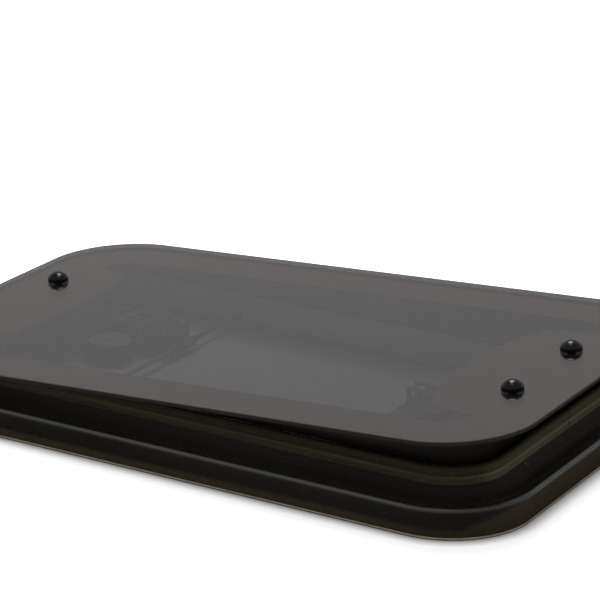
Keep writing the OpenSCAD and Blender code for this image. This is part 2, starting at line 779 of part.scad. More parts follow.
module lift_pin(y) {
    half = arm_t / 2 + side_fit + plate_t;
    color([0.6, 0.6, 0.62]) lid_pose() translate([pivot_x, y, pivot_z]) {
        rod_y(pin_r, 2 * half);
        for (s = [-1, 1]) translate([0, s * (half + pin_head / 2), 0]) rod_y(pin_r + 1.5, pin_head);
    }
}

// Places what is drawn with the arm lying along -X from its upper pivot at the origin
module arm_pose() {
    at = pivot_at(tilt_rest);
    translate([at[0], 0, at[1]]) rotate([0, -arm_slope, 0]) children();
}

module lift_arm(y) {
    waist = arm_w - 5;
    color([0.16, 0.16, 0.17]) arm_pose() translate([0, y, 0]) difference() {
        slab_y(arm_t) {
            translate([-arm_l / 2, 0]) square([arm_l, waist], center = true);
            for (x = [0, -arm_l * cross_rod_at, -arm_l]) translate([x, 0]) circle(arm_w / 2);
        }
        rod_y(pin_r + running, arm_t + 2);
        for (x = [arm_l * cross_rod_at, arm_l]) translate([-x, 0, 0]) rod_y(pin_r, arm_t + 2);
    }
}

module arm_cross_rod() {
    color([0.6, 0.6, 0.62]) arm_pose() translate([-arm_l * cross_rod_at, 0, 0])
        rod_y(pin_r, 2 * hinge_y + arm_t + 4 * rod_end);
}

module guide_pin(y) {
    color([0.6, 0.6, 0.62]) arm_pose() translate([-arm_l, y, 0])
        rod_y(pin_r, arm_t + 2 * (arm_gap + plate_t + rod_end));
}

sealing_tape();
outer_frame();
inner_liner();
rim_seal();
seal_bulb();
hinge_bracket(-hinge_y);  // hinge_bracket_front
hinge_bracket(hinge_y);  // hinge_bracket_back
hinge_pin(-hinge_y);  // hinge_pin_front
hinge_pin(hinge_y);  // hinge_pin_back
motor_bracket();
motor_housing();
motor_end_cap();
gear_housing();
gear_cover();
cable_block();
lead_socket();
red_lead();
black_lead();
drive_tube(motor_y - 22);  // drive_tube_front
mirror([0, 1, 0]) drive_tube(-motor_y - 22);  // drive_tube_back
tube_clips();
lift_base();
guide_rail(-hinge_y);  // guide_rail_front
guide_rail(hinge_y);  // guide_rail_back
glass_pane();
printed_border();
pane_skirt();
bolt_pads();
bolt_cap(hinge_bolt_x, -hinge_y);  // hinge_cap_front
bolt_cap(hinge_bolt_x, hinge_y);  // hinge_cap_back
bolt_cap(lift_bolt_x, -hinge_y);  // lift_cap_front
bolt_cap(lift_bolt_x, hinge_y);  // lift_cap_back
hinge_arm(-hinge_y);  // hinge_arm_front
hinge_arm(hinge_y);  // hinge_arm_back
lift_bracket(-hinge_y);  // lift_bracket_front
lift_bracket(hinge_y);  // lift_bracket_back
lift_pin(-hinge_y);  // lift_pin_front
lift_pin(hinge_y);  // lift_pin_back
lift_arm(-hinge_y);  // lift_arm_front
lift_arm(hinge_y);  // lift_arm_back
arm_cross_rod();
guide_pin(-hinge_y);  // guide_pin_front
guide_pin(hinge_y);  // guide_pin_back
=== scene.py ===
"""Looks of the electric roof skylight: materials, fine pieces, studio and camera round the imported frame."""

import json
import math

import bmesh
import bpy
from mathutils import Matrix, Quaternion, Vector


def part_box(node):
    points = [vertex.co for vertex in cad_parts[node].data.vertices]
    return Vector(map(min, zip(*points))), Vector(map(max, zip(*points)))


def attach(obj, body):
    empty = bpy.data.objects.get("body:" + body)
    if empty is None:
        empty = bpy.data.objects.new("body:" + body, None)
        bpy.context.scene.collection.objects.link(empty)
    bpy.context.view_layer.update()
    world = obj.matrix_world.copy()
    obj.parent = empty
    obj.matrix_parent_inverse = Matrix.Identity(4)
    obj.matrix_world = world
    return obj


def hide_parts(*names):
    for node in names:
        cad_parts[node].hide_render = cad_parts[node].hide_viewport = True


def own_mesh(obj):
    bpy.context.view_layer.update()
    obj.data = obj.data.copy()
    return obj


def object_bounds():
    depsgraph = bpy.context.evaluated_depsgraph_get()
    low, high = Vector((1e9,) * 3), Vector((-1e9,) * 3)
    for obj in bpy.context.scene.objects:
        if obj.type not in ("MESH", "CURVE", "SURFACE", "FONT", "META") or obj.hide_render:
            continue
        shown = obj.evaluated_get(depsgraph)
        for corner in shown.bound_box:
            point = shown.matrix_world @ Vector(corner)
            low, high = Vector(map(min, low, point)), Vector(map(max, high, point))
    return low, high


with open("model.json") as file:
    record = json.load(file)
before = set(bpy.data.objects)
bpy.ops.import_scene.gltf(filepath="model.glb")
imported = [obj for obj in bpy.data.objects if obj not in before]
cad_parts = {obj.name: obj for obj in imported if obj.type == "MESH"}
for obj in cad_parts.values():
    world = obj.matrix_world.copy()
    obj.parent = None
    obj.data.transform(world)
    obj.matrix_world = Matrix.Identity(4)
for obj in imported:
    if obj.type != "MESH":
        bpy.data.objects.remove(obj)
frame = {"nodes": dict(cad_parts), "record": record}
NODES = frame["nodes"]
CAD_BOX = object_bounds()

# Camera of the photograph, in metres and degrees
EYE = Vector((1.7422, -2.8057, 1.2895))
YAW = -31.20
PITCH = 19.23
FOCAL_PX = 2821.5
IMAGE_PX = 600
SENSOR_MM = 36.0
CLIP_END = 50

MM = 0.001
ENDS = ("front", "back")
# Frame: height of its shoulder, and its foot's corner radius and inset from the whole box
SHOULDER_Z = 41.3 * MM
FOOT_R = 103.5 * MM
FOOT_INSET = 6.5 * MM
# Ledge's plugs: places, radius and the direction they face; and the skirt's lower edge at rest
PLUG_X, PLUG_Y, PLUG_Z = 417 * MM, 119 * MM, 48.8 * MM
PLUG_R = 4.2 * MM
PLUG_TILT, PLUG_RISE = 0.57, 0.82
SKIRT_LOW = 69 * MM
# Seal's bulb: height of its fine line
# The bulb's groove at this height has its shade painted as a dark line.
BULB_LINE = 71.4 * MM
# Pane: length, width, corner radius, middle and underside when closed, tilt at rest
PANE_L, PANE_W, PANE_R = 900 * MM, 544 * MM, 108 * MM
PANE_X, PANE_Z = 3 * MM, 67.3 * MM
TILT_REST = math.radians(3.5)
# Band of print at the rim: from and to what distance inside the pane's edge, and its depths under the glass
RIM_FROM, RIM_TO = 0.85 * MM, 2 * MM
RIM_NEAR, RIM_FAR = 0.05 * MM, 0.25 * MM

# Radii of the holes in what sits on a pin or on a drive tube, and of the screws' heads
PIN_HOLE = 4.03 * MM
TUBE_HOLE = 3.03 * MM
HEAD = {"plate": 2.6 * MM, "block": 2.5 * MM, "motor": 2.2 * MM, "rail": 1.9 * MM, "cover": 1.9 * MM,
        "clip": 1.25 * MM}
# Turned profiles in shares of the part's radius: radius and height, from the bottom up and back in
SCREW_PROFILE = ((1.3, 0), (1.34, 0.066), (1.34, 0.176), (1.28, 0.22), (1, 0.22), (1.02, 0.364),
                 (0.95, 0.616), (0.78, 0.832), (0.56, 0.94))
RECESS_PROFILE = ((0.5, 0.94), (0.4, 0.472))
PLUG_PROFILE = ((0.9, -0.4), (1, 0), (1.02, 0.16), (0.94, 0.3), (0.8, 0.33), (0.66, 0.24), (0.3, 0.18))
# Sides of a turned form, and the angle from which an edge stays sharp
TURN = 24
SHARP = math.radians(35)

# Bands that most values of a noise lie in, and the depth of a surface's fine grain
WIDE = (0.3, 0.7)
NARROW = (0.35, 0.65)
GRAIN = 0.2 * MM

# Strength of the surround as light, and as gloss and glass show it
SOFT_LIGHT = 0.35
SURROUND = 0.76
# Floor: half its side, and how white it turns near the foot and far out: the distance from the foot
# at which the white begins and ends its rise, and its strength at both
FLOOR_HALF = 6.0
# Near the foot the white is held back, which paints a narrow shadow round the foot.
WHITE_NEAR = (0, 0.018, 0, 0.57)
WHITE_FAR = (0.6965, 3.8965, 0, 0.15)
# Lamps: place, width, length, angle of the long side from +Y seen from above, power
LAMPS = {"lamp_top": ((-0.5, 1.0, 3.0), 1.8, 1.8, 0, 170),
         "lamp_strip": ((0.0, -0.1, 3.0), 0.36, 2.2, -YAW, 33)}
# A lamp is even up to this distance from its middle line, in shares of its side, and dark at its edge
LAMP_EVEN, LAMP_EDGE = 0.2, 0.5


def add_camera():
    cam = bpy.data.cameras.new("camera")
    cam.sensor_width = SENSOR_MM
    cam.lens = FOCAL_PX / IMAGE_PX * SENSOR_MM
    cam.clip_end = CLIP_END
    obj = bpy.data.objects.new("camera", cam)
    yaw, pitch = math.radians(YAW), math.radians(PITCH)
    aim = Vector((math.sin(yaw) * math.cos(pitch), math.cos(yaw) * math.cos(pitch), -math.sin(pitch)))
    obj.location = EYE
    obj.rotation_euler = aim.to_track_quat("-Z", "Y").to_euler()
    bpy.context.scene.collection.objects.link(obj)
    bpy.context.scene.camera = obj


add_camera()


class Tree:
    """Short hand for adding nodes to a tree; an input is a number, a colour or another node's output."""

    def __init__(self, tree):
        self.tree = tree

    def add(self, kind, inputs=None, **props):
        node = self.tree.nodes.new(kind)
        for key, value in props.items():
            setattr(node, key, value)
        for key, value in (inputs or {}).items():
            self.put(value, node.inputs[key])
        return node

    def put(self, value, socket):
        if isinstance(value, bpy.types.NodeSocket):
            self.tree.links.new(value, socket)
        else:
            socket.default_value = value

    def math(self, kind, first, second=0):
        return self.add("ShaderNodeMath", {0: first, 1: second}, operation=kind).outputs[0]

    def product(self, first, *others):
        for other in others:
            first = self.math("MULTIPLY", first, other)
        return first

    def distance(self, value, place):
        return self.math("ABSOLUTE", self.math("SUBTRACT", value, place))

    def ramp(self, value, low, high, first, last, **props):
        """First up to low, last from high on, and a slope between them."""
        return self.add("ShaderNodeMapRange", {"Value": value, "From Min": low, "From Max": high,
                                               "To Min": first, "To Max": last}, **props).outputs[0]

    def rise(self, value, low, high):
        return self.ramp(value, low, high, 0, 1)

    def fall(self, value, low, high):
        return self.ramp(value, low, high, 1, 0)


class Material(Tree):
    """Short hand for building one node material."""

    def __init__(self, name):
        self.mat = bpy.data.materials.new(name)
        self.mat.use_nodes = True
        super().__init__(self.mat.node_tree)
        self.bsdf = self.tree.nodes["Principled BSDF"]
        self.coords = self.add("ShaderNodeTexCoord").outputs["Object"]

    def set(self, **values):
        """Fill the shader's own sockets, by their names."""
        for key, value in values.items():
            self.put(value, self.bsdf.inputs[key.replace("_", " ")])

    def axis(self, name):
        return self.add("ShaderNodeSeparateXYZ", {"Vector": self.coords}).outputs[name]

    def noise(self, scale, detail, stretch=(1, 1, 1)):
        """Noise with about as many bumps a metre as the scale says."""
        moved = self.add("ShaderNodeMapping", {"Vector": self.coords, "Scale": stretch})
        return self.add("ShaderNodeTexNoise", {"Vector": moved.outputs[0], "Scale": scale,
                                               "Detail": detail}).outputs[0]

    def wander(self, scale, detail, first, last, band=WIDE):
        """Value that drifts over the surface between first and last."""
        return self.ramp(self.noise(scale, detail), *band, first, last)

    def grain(self, scale, detail, strength, depth=GRAIN):
        """Bump from a noise."""
        return self.add("ShaderNodeBump", {"Height": self.noise(scale, detail), "Strength": strength,
                                           "Distance": depth}).outputs[0]

    def mix(self, amount, first, last):
        return self.add("ShaderNodeMix", {0: amount, 2: first, 3: last}).outputs[0]

    def blend(self, amount, first, last):
        """Mix of two colours, each a tuple or another node's output."""
        ends = [(*end, 1) if isinstance(end, tuple) else end for end in (first, last)]
        return self.add("ShaderNodeMix", {0: amount, 6: ends[0], 7: ends[1]}, data_type="RGBA").outputs[2]

    def facing_up(self, low, high):
        """0 where a face's normal has a height under low, 1 where it is over high."""
        normal = self.add("ShaderNodeNewGeometry").outputs["True Normal"]
        return self.rise(self.add("ShaderNodeSeparateXYZ", {"Vector": normal}).outputs["Z"], low, high)


def moulded(name, dark, light, rough=(0.3, 0.45), level=0.3):
    """Moulded plastic: soft colour drift, fine grain, uneven gloss."""
    m = Material(name)
    m.set(Base_Color=m.blend(m.wander(9, 3, 0, 1, NARROW), dark, light), Roughness=m.wander(40, 5, *rough),
          Normal=m.grain(2200, 2, 0.15), Specular_IOR_Level=level)
    return m.mat


def frame_plastic():
    """Black moulding, polished along its shoulder, with a painted warm reflection low on its wall and painted
    light on its ledge.
    """
    m = Material("frame_black")
    x, z = m.axis("X"), m.axis("Z")
    wall = m.blend(m.wander(9, 3, 0, 1, NARROW), (0.0125, 0.011, 0.0095), (0.018, 0.0155, 0.0135))
    # Painted light: the ledge is painted lighter than the wall, standing in for the little light that reaches
    # it under the pane; it is darker towards the free end.
    ledge = m.blend(m.rise(x, 150 * MM, 400 * MM), (0.027, 0.023, 0.0195), (0.015, 0.0115, 0.009))
    black = m.blend(m.rise(z, SHOULDER_Z - 0.5 * MM, SHOULDER_Z + 1 * MM), wall, ledge)
    # Painted reflection: a warm olive tint low on the front wall, rising to the whole wall at the free end,
    # stands in for the wall's reflection of a warm floor.
    painted_reflection_top = m.ramp(x, 405 * MM, 449 * MM, 13 * MM, 36 * MM)
    low = m.rise(m.math("SUBTRACT", painted_reflection_top, z), -3 * MM, 4 * MM)
    outside = m.fall(z, 36 * MM, 41 * MM)
    painted_reflection = m.product(low, outside, m.wander(70, 5, 0.7, 1), m.ramp(x, 280 * MM, 400 * MM, 1, 0.7))
    band_foot = m.rise(z, SHOULDER_Z - 8 * MM, SHOULDER_Z - 5 * MM)
    band_top = m.fall(z, SHOULDER_Z + 0.4 * MM, SHOULDER_Z + 1.6 * MM)
    matt_top = m.ramp(z, SHOULDER_Z + 1 * MM, SHOULDER_Z + 4 * MM, 0, 0.4)
    # The warm colour below is the painted reflection's tint.
    m.set(Base_Color=m.blend(painted_reflection, black, (0.055, 0.043, 0.027)),
          Roughness=m.math("ADD", m.wander(40, 5, 0.26, 0.34), matt_top),
          Coat_Weight=m.product(band_foot, band_top, m.ramp(x, 340 * MM, 420 * MM, 1, 0.5)),
          Coat_Roughness=0.16, Normal=m.grain(2200, 2, 0.08), Specular_IOR_Level=0.16)
    return m.mat


def skirt_plastic():
    """Skirt's black, paler towards the hinge."""
    m = Material("skirt_black")
    uneven_x = m.math("ADD", m.axis("X"), m.wander(12, 4, -30 * MM, 30 * MM))
    pale = m.fall(uneven_x, 50 * MM, 360 * MM)
    m.set(Base_Color=m.blend(pale, (0.014, 0.0115, 0.01), (0.06, 0.05, 0.044)),
          Roughness=m.wander(40, 5, 0.6, 0.8), Normal=m.grain(1500, 3, 0.12), Specular_IOR_Level=0.05)
    return m.mat


def metal(name, colour, rough=(0.25, 0.42)):
    """Worked metal: patchy tone, uneven gloss, fine grain."""
    m = Material(name)
    dark = tuple(c * 0.8 for c in colour)
    m.set(Base_Color=m.blend(m.wander(25, 5, 0, 1, NARROW), dark, colour),
          Roughness=m.wander(60, 4, *rough), Normal=m.grain(900, 3, 0.1), Metallic=1.0)
    return m.mat


def rubber(name, dark, light, rough=(0.5, 0.7)):
    """Rubber or soft plastic: mottled tone, dull grain."""
    m = Material(name)
    m.set(Base_Color=m.blend(m.wander(14, 5, 0, 1), dark, light), Roughness=m.wander(50, 4, *rough),
          Normal=m.grain(1500, 3, 0.2), Specular_IOR_Level=0.2)
    return m.mat


def seal_rubber(name, dark, light, rough, level):
    """Olive rubber: drawn out along the frame, painted lighter at the free end as painted light, with a
    groove line of painted shade, smeared dark at its butt joint.
    """
    m = Material(name)
    x, y, z = (m.axis(key) for key in "XYZ")
    streaks = m.rise(m.noise(5, 6, (1, 1, 60)), *WIDE)
    # Painted light: the seal at the free end is painted 1.9 times lighter, standing in for the light that
    # falls on that side.
    painted_lit_end = [tuple(1.9 * c for c in colour) for colour in (dark, light)]
    free_end = m.rise(x, 402 * MM, 412 * MM)
    tone = m.blend(free_end, m.blend(streaks, dark, light), m.blend(streaks, *painted_lit_end))
    # Painted shade: a dark line round the bulb at its groove stands in for the shade in the groove.
    line = m.ramp(m.distance(z, BULB_LINE), 0.1 * MM, 0.4 * MM, 0.6, 0)
    smear = m.product(m.ramp(m.distance(y, 0), 0.3 * MM, 1.7 * MM, 0.8, 0), m.rise(x, 300 * MM, 301 * MM))
    tone = m.blend(m.math("MAXIMUM", line, smear), tone, (0.004, 0.0035, 0.003))
    flecks = m.product(m.rise(m.noise(420, 1), 0.735, 0.76), m.rise(m.noise(30, 1), 0.5, 0.6))
    m.set(Base_Color=m.blend(flecks, tone, (0.25, 0.23, 0.17)), Roughness=m.wander(50, 4, *rough),
          Normal=m.grain(1500, 3, 0.2), Specular_IOR_Level=level)
    return m.mat


def tape_foam():
    """Beige foam tape, with painted contact shade along its lower edge."""
    m = Material("tape_foam")
    beige = m.blend(m.wander(60, 6, 0, 1), (0.36, 0.32, 0.255), (0.54, 0.48, 0.395))
    # Painted shade: the lowest millimetre of the tape is painted dark, standing in for the contact shadow
    # where it meets the floor.
    painted_contact_shade = m.fall(m.axis("Z"), 0.8 * MM, 1.4 * MM)
    m.set(Base_Color=m.blend(painted_contact_shade, beige, (0.06, 0.05, 0.04)), Roughness=0.9,
          Normal=m.grain(1800, 3, 0.35, 0.3 * MM), Specular_IOR_Level=0.1)
    return m.mat


def tinted_glass():
    """Smoked glass: clear through its faces, dark and matt where it is cut at its edge."""
    m = Material("tinted_glass")
    level_face = m.math("ADD", m.facing_up(0.8, 0.95), m.facing_up(-0.8, -0.95))
    haze = m.wander(6, 4, 0, 0.04, (0.35, 0.7))
    m.set(Base_Color=(0.004, 0.004, 0.004, 1), Roughness=m.mix(level_face, 0.55, haze),
          Alpha=m.mix(level_face, 0.95, 0.6), IOR=1.5)
    return m.mat


def enamel_print():
    """Border print: warm where it is seen through the pane, black on its back."""
    m = Material("enamel_print")
    m.set(Base_Color=m.blend(m.facing_up(0.4, 0.6), (0.014, 0.013, 0.013), (0.42, 0.17, 0.12)),
          Roughness=0.4, Specular_IOR_Level=0.3)
    return m.mat


def assign_materials():
    """Dress every node by its slot; returns the material of each slot."""
    by_slot = {
        "tape": tape_foam(),
        "frame": frame_plastic(),
        "liner": moulded("liner_pale", (0.62, 0.62, 0.6), (0.7, 0.7, 0.68), level=0.4),
        "seal": seal_rubber("seal_rubber", (0.03, 0.025, 0.0155), (0.058, 0.05, 0.0315), (0.5, 0.7), 0.2),
        "bulb": seal_rubber("seal_sponge", (0.019, 0.016, 0.0095), (0.033, 0.028, 0.017), (0.7, 0.85), 0.08),
        "skirt": skirt_plastic(),
        "steel": metal("zinc_steel", (0.55, 0.56, 0.58)),
        "black_steel": moulded("painted_steel", (0.012, 0.012, 0.013), (0.02, 0.02, 0.021), (0.35, 0.5)),
        "housing": moulded("drive_dark", (0.02, 0.02, 0.021), (0.03, 0.03, 0.031)),
        "cover": moulded("cover_grey", (0.42, 0.42, 0.41), (0.5, 0.5, 0.48)),
        "socket": moulded("socket_brown", (0.5, 0.26, 0.1), (0.6, 0.32, 0.12)),
        "red_wire": rubber("lead_red", (0.7, 0.03, 0.02), (0.85, 0.05, 0.03), (0.35, 0.45)),
        "black_wire": rubber("lead_black", (0.01, 0.01, 0.01), (0.02, 0.02, 0.02), (0.35, 0.45)),
        "glass": tinted_glass(),
        "print": enamel_print(),
        "pad": rubber("pad_rubber", (0.01, 0.01, 0.01), (0.015, 0.015, 0.015)),
        "cap": moulded("cap_black", (0.003, 0.003, 0.003), (0.005, 0.005, 0.005), (0.12, 0.2), 0.15),
    }
    for part in frame["record"]["subparts"]:
        slots = NODES[part["node"]].data.materials
        slots.clear()
        slots.append(by_slot[part["material_slot"]])
    return by_slot


MATERIALS = assign_materials()


def put_mesh(name, bm, mat, body):
    """Turn a finished mesh into a piece that rides on a body."""
    bmesh.ops.recalc_face_normals(bm, faces=bm.faces)
    mesh = bpy.data.meshes.new(name)
    bm.to_mesh(mesh)
    bm.free()
    mesh.materials.append(mat)
    mesh.shade_smooth()
    mesh.set_sharp_from_angle(angle=SHARP)
    obj = bpy.data.objects.new(name, mesh)
    bpy.context.scene.collection.objects.link(obj)
    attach(obj, body)


def gather(shape, rows):
    """New mesh with one shape for each row, which holds what the shape's function takes after the mesh."""
    bm = bmesh.new()
    for row in rows:
        shape(bm, *row)
    return bm


def loft(bm, loops, place=None, hollow=False):
    """Skin through loops of equal length; closed by end faces, or back to its first loop where hollow."""
    place = place or Matrix.Identity(4)
    rows = [[bm.verts.new(place @ point) for point in loop] for loop in loops]
    count = len(rows[0])
    for low, high in zip(rows, rows[1:] + rows[:1] if hollow else rows[1:]):
        for k in range(count):
            after = (k + 1) % count
            bm.faces.new((low[k], low[after], high[after], high[k]))
    if not hollow:
        bm.faces.new(rows[0][::-1])
        bm.faces.new(rows[-1])


def angles(count):
    """Full turn in equal steps."""
    return [2 * math.pi * k / count for k in range(count)]


def circle_loop(radius, z):
    """Level closed loop; radius is a number or a function of the angle."""
    reach = [(radius(a) if callable(radius) else radius, a) for a in angles(TURN)]
    return [Vector((r * math.cos(a), r * math.sin(a), z)) for r, a in reach]


def upright_oval(centre, half_w, half_h, count):
    """Closed loop across X."""
    return [centre + Vector((0, half_w * math.cos(a), half_h * math.sin(a))) for a in angles(count)]


def rounded_loop(length, width, r, z, steps=5):
    """Level rounded rectangle, with as many points as steps at each corner."""
    points = []
    for turn, (sx, sy) in enumerate(((1, 1), (-1, 1), (-1, -1), (1, -1))):
        for k in range(steps):
            a = math.pi / 2 * (turn + k / (steps - 1))
            x, y = sx * (length / 2 - r), sy * (width / 2 - r)
            points.append(Vector((x + r * math.cos(a), y + r * math.sin(a), z)))
    return points


def upright(x, y, z):
    return Matrix.Translation((x, y, z))


def facing(x, y, z, axis):
    """Place with its own +Z along the given axis."""
    return upright(x, y, z) @ Vector(axis).to_track_quat("Z", "Y").to_matrix().to_4x4()


def middle(node):
    low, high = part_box(node)
    return (low + high) / 2


def sides(node, inset):
    """Two places across a node, each an inset from its side."""
    low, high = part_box(node)
    return low.y + inset, high.y - inset


def cross_recess(reach):
    """Radius of a cross-shaped recess over the angle; its arms are 30 degrees wide at their tips."""
    half = reach * math.tan(math.radians(15))

    def radius(a):
        fold = abs((a + math.pi / 4) % (math.pi / 2) - math.pi / 4)
        return min(reach / math.cos(fold), half / max(math.sin(fold), 1e-6))
    return radius


def pan_screw(bm, place, r, turn):
    """Pan head with a cross recess, standing on its washer at the place's origin."""
    loops = [circle_loop(radius * r, height * r) for radius, height in SCREW_PROFILE]
    loops += [circle_loop(cross_recess(reach * r), height * r) for reach, height in RECESS_PROFILE]
    loft(bm, loops, place @ Matrix.Rotation(turn, 4, "Z"))


def washer(bm, place, inner, outer, t):
    """Flat ring with its outer edges broken."""
    edge = 0.15 * t
    loft(bm, [circle_loop(outer - edge, 0), circle_loop(outer, edge), circle_loop(outer, t - edge),
              circle_loop(outer - edge, t), circle_loop(inner, t), circle_loop(inner, 0)], place, True)


def tube_sleeve(bm, place, inner, outer, length):
    """Round sleeve with a rolled lip at both ends."""
    lip = 0.18 * (outer + inner)
    rise = 0.12 * outer
    loft(bm, [circle_loop(inner, 0), circle_loop(outer + rise, 0), circle_loop(outer + rise, lip),
              circle_loop(outer, 1.5 * lip), circle_loop(outer, length - 1.5 * lip),
              circle_loop(outer + rise, length - lip), circle_loop(outer + rise, length),
              circle_loop(inner, length)], place, True)


def with_turns(rows, first, step):
    """Rows of place and radius, each with its own turn of the screw's recess."""
    return [(place, r, first + step * k) for k, (place, r) in enumerate(rows)]


def frame_screws():
    """Screws of the hinge brackets, the rails' end blocks, the motor bracket and the lift base."""
    plate = 3 * MM
    rows = []
    for end in ENDS:
        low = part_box("hinge_bracket_" + end)[0]
        for y in sides("hinge_bracket_" + end, 4 * MM):
            rows.append((upright(low.x + 4.6 * MM, y, low.z + plate), HEAD["plate"]))
        low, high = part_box("guide_rail_" + end)
        for side in (-1, 1):
            y = middle("guide_rail_" + end).y + side * 4.2 * MM
            rows.append((upright(high.x - 7 * MM, y, low.z + 9 * MM), HEAD["rail"]))
    low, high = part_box("motor_bracket")
    for y in (high.y - 7 * MM, high.y - 25 * MM):
        rows.append((upright(low.x + 7.5 * MM, y, low.z + plate), HEAD["plate"]))
    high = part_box("lift_base")[1]
    first, last = sides("lift_base", 9 * MM)
    for y in (first, -26 * MM, 26 * MM, last):
        rows.append((upright(high.x - 5 * MM, y, high.z), HEAD["plate"]))
    return with_turns(rows, 0.4, 1.7)


def drive_screws():
    """Screws of the motor, its gear housing, the cable block and the tube clips."""
    rows = []
    low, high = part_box("motor_housing")
    for x in (low.x + 8 * MM, high.x - 8 * MM):
        for y in sides("motor_housing", 8 * MM):
            rows.append((upright(x, y, high.z), HEAD["motor"]))
    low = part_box("motor_end_cap")[0]
    for y in sides("motor_end_cap", 9 * MM):
        rows.append((facing(low.x, y, middle("motor_end_cap").z, (-1, 0, 0)), HEAD["motor"]))
    hub = middle("gear_cover")
    for node, reach, height, degrees, r in (
            ("gear_cover", 20 * MM, 1.5 * MM, (30, 150, 270), HEAD["cover"]),
            ("gear_housing", 34 * MM, 5 * MM, (210, 330), HEAD["block"])):
        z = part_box(node)[0].z + height
        for a in map(math.radians, degrees):
            rows.append((upright(hub.x + reach * math.cos(a), hub.y + reach * math.sin(a), z), r))
    for y in sides("cable_block", 6 * MM):
        rows.append((upright(middle("cable_block").x, y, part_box("cable_block")[1].z), HEAD["block"]))
    low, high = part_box("tube_clips")
    for x in (low.x + 7 * MM, high.x - 7 * MM):
        for y in sides("tube_clips", 4 * MM):
            for side in (-1, 1):
                rows.append((upright(x + side * 5.1 * MM, y, high.z), HEAD["clip"]))
    return with_turns(rows, 0.9, 2.1)


def arm_washers():
    """Push-on washers on the ends of the cross rod and of the guide pins."""
    rows = []
    for node, inset, outer, t in (("arm_cross_rod", 0.7 * MM, 7 * MM, 1 * MM),
                                  ("guide_pin_front", 0.1 * MM, 6.2 * MM, 0.7 * MM),
                                  ("guide_pin_back", 0.1 * MM, 6.2 * MM, 0.7 * MM)):
        pin = middle(node)
        for y, side in zip(sides(node, inset), (1, -1)):
            rows.append((facing(pin.x, y, pin.z, (0, side, 0)), PIN_HOLE, outer, t))
    return rows


def arm_spacers():
    """Pale nylon washers between each lift arm and the ears that hold it."""
    rows = []
    for end in ENDS:
        pin = middle("lift_pin_" + end)
        for side in (-1, 1):
            place = facing(pin.x, pin.y + side * 3.1 * MM, pin.z, (0, side, 0))
            rows.append((place, PIN_HOLE, 7.2 * MM, 0.8 * MM))
    return rows


def tube_ferrules():
    """Crimped sleeves on the drive tubes beside the cable block and the rails' end blocks."""
    gap, outer = 0.2 * MM, 4.3 * MM
    low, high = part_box("tube_clips")
    tube_x, tube_z = low.x + 7 * MM, high.z - 4 * MM
    rows = []
    for y, side in zip(sides("cable_block", -gap), (-1, 1)):
        rows.append((facing(tube_x, y, tube_z, (0, side, 0)), TUBE_HOLE, outer, 9 * MM))
    for end in ENDS:
        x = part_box("guide_rail_" + end)[1].x + gap
        place = facing(x, middle("guide_rail_" + end).y, tube_z, (1, 0, 0))
        rows.append((place, TUBE_HOLE, outer, 7 * MM))
    return rows


def weld_bead(bm, start, length, r):
    """Rippled weld run along X at the foot of a cheek."""
    steps = int(length / (0.5 * MM))
    loops = []
    for k in range(steps + 1):
        ripple = 1 + 0.14 * math.sin(k * 2.1)
        taper = min(1.0, 0.35 + 0.2 * min(k, steps - k))
        size = r * ripple * taper
        loops.append(upright_oval(start + Vector((length * k / steps, 0, 0)), size, size, 8))
    loft(bm, loops)


def rail_welds():
    """Four weld runs along each side of both rails."""
    run, inset, count = 16 * MM, 1 * MM, 4
    rows = []
    for end in ENDS:
        low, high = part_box("guide_rail_" + end)
        step = (high.x - low.x - run - 2 * inset) / (count - 1)
        for y in (low.y, high.y):
            for k in range(count):
                rows.append((Vector((low.x + inset + step * k, y, low.z)), run, 1.1 * MM))
    return rows


def ledge_plug(bm, place, r):
    """Low round plug with a rolled rim and a dished middle."""
    loft(bm, [circle_loop(radius * r, height * r) for radius, height in PLUG_PROFILE], place)


def ledge_plugs():
    """Four plugs on the slope of the ledge, near the corners of its short sides."""
    rows = []
    for sx in (-1, 1):
        for sy in (-1, 1):
            place = facing(sx * PLUG_X, sy * PLUG_Y, PLUG_Z, (sx * PLUG_TILT, 0, PLUG_RISE))
            rows.append((place, PLUG_R))
    return rows


def lead_plugs():
    """Two-pole plugs that the ends of the two leads go into."""
    bm = bmesh.new()
    mid_x = (middle("red_lead").x + middle("black_lead").x) / 2
    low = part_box("red_lead")[0]
    first, last = sides("red_lead", 2.2 * MM)
    for y, z, depth in ((first, low.z, 9), (last, low.z + 8 * MM, 12)):
        sections = ((11.2, 6, -depth), (12, 6.8, 0.6 - depth), (12, 6.8, -3), (13.4, 7.6, -2.6),
                    (13.4, 7.6, 1), (12.6, 6.8, 2))
        loops = [rounded_loop(length * MM, width * MM, 1.2 * MM, height * MM)
                 for length, width, height in sections]
        loft(bm, loops, upright(mid_x, y, z))
    return bm


def ribbed_boot(bm, x, half_w, half_h, start, end):
    """Moulded boot that lies along Y on the motor, with ribs near both of its ends."""
    ribs = [((2 + 1.5 * k) * MM, 1.0 if k % 4 < 2 else 0.86) for k in range(10)]
    steps = [(0, 0.6), (0.6 * MM, 0.8), *ribs]
    sections = [(start + step, size) for step, size in steps]
    sections += [(end - step, size) for step, size in steps[::-1]]
    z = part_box("motor_housing")[1].z + half_h + 0.05 * MM
    loops = []
    for y, size in sections:
        w, h = half_w * size, half_h * size
        loops.append([Vector((x + w * math.cos(a), y, z + h * math.sin(a))) for a in angles(TURN)])
    loft(bm, loops)


def lead_boot():
    """Boot round the red lead where it lies on the motor."""
    low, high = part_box("motor_housing")
    x = middle("red_lead").x - 1.8 * MM
    return [(x, 4.6 * MM, 3.4 * MM, low.y + 5 * MM, high.y - 6 * MM)]


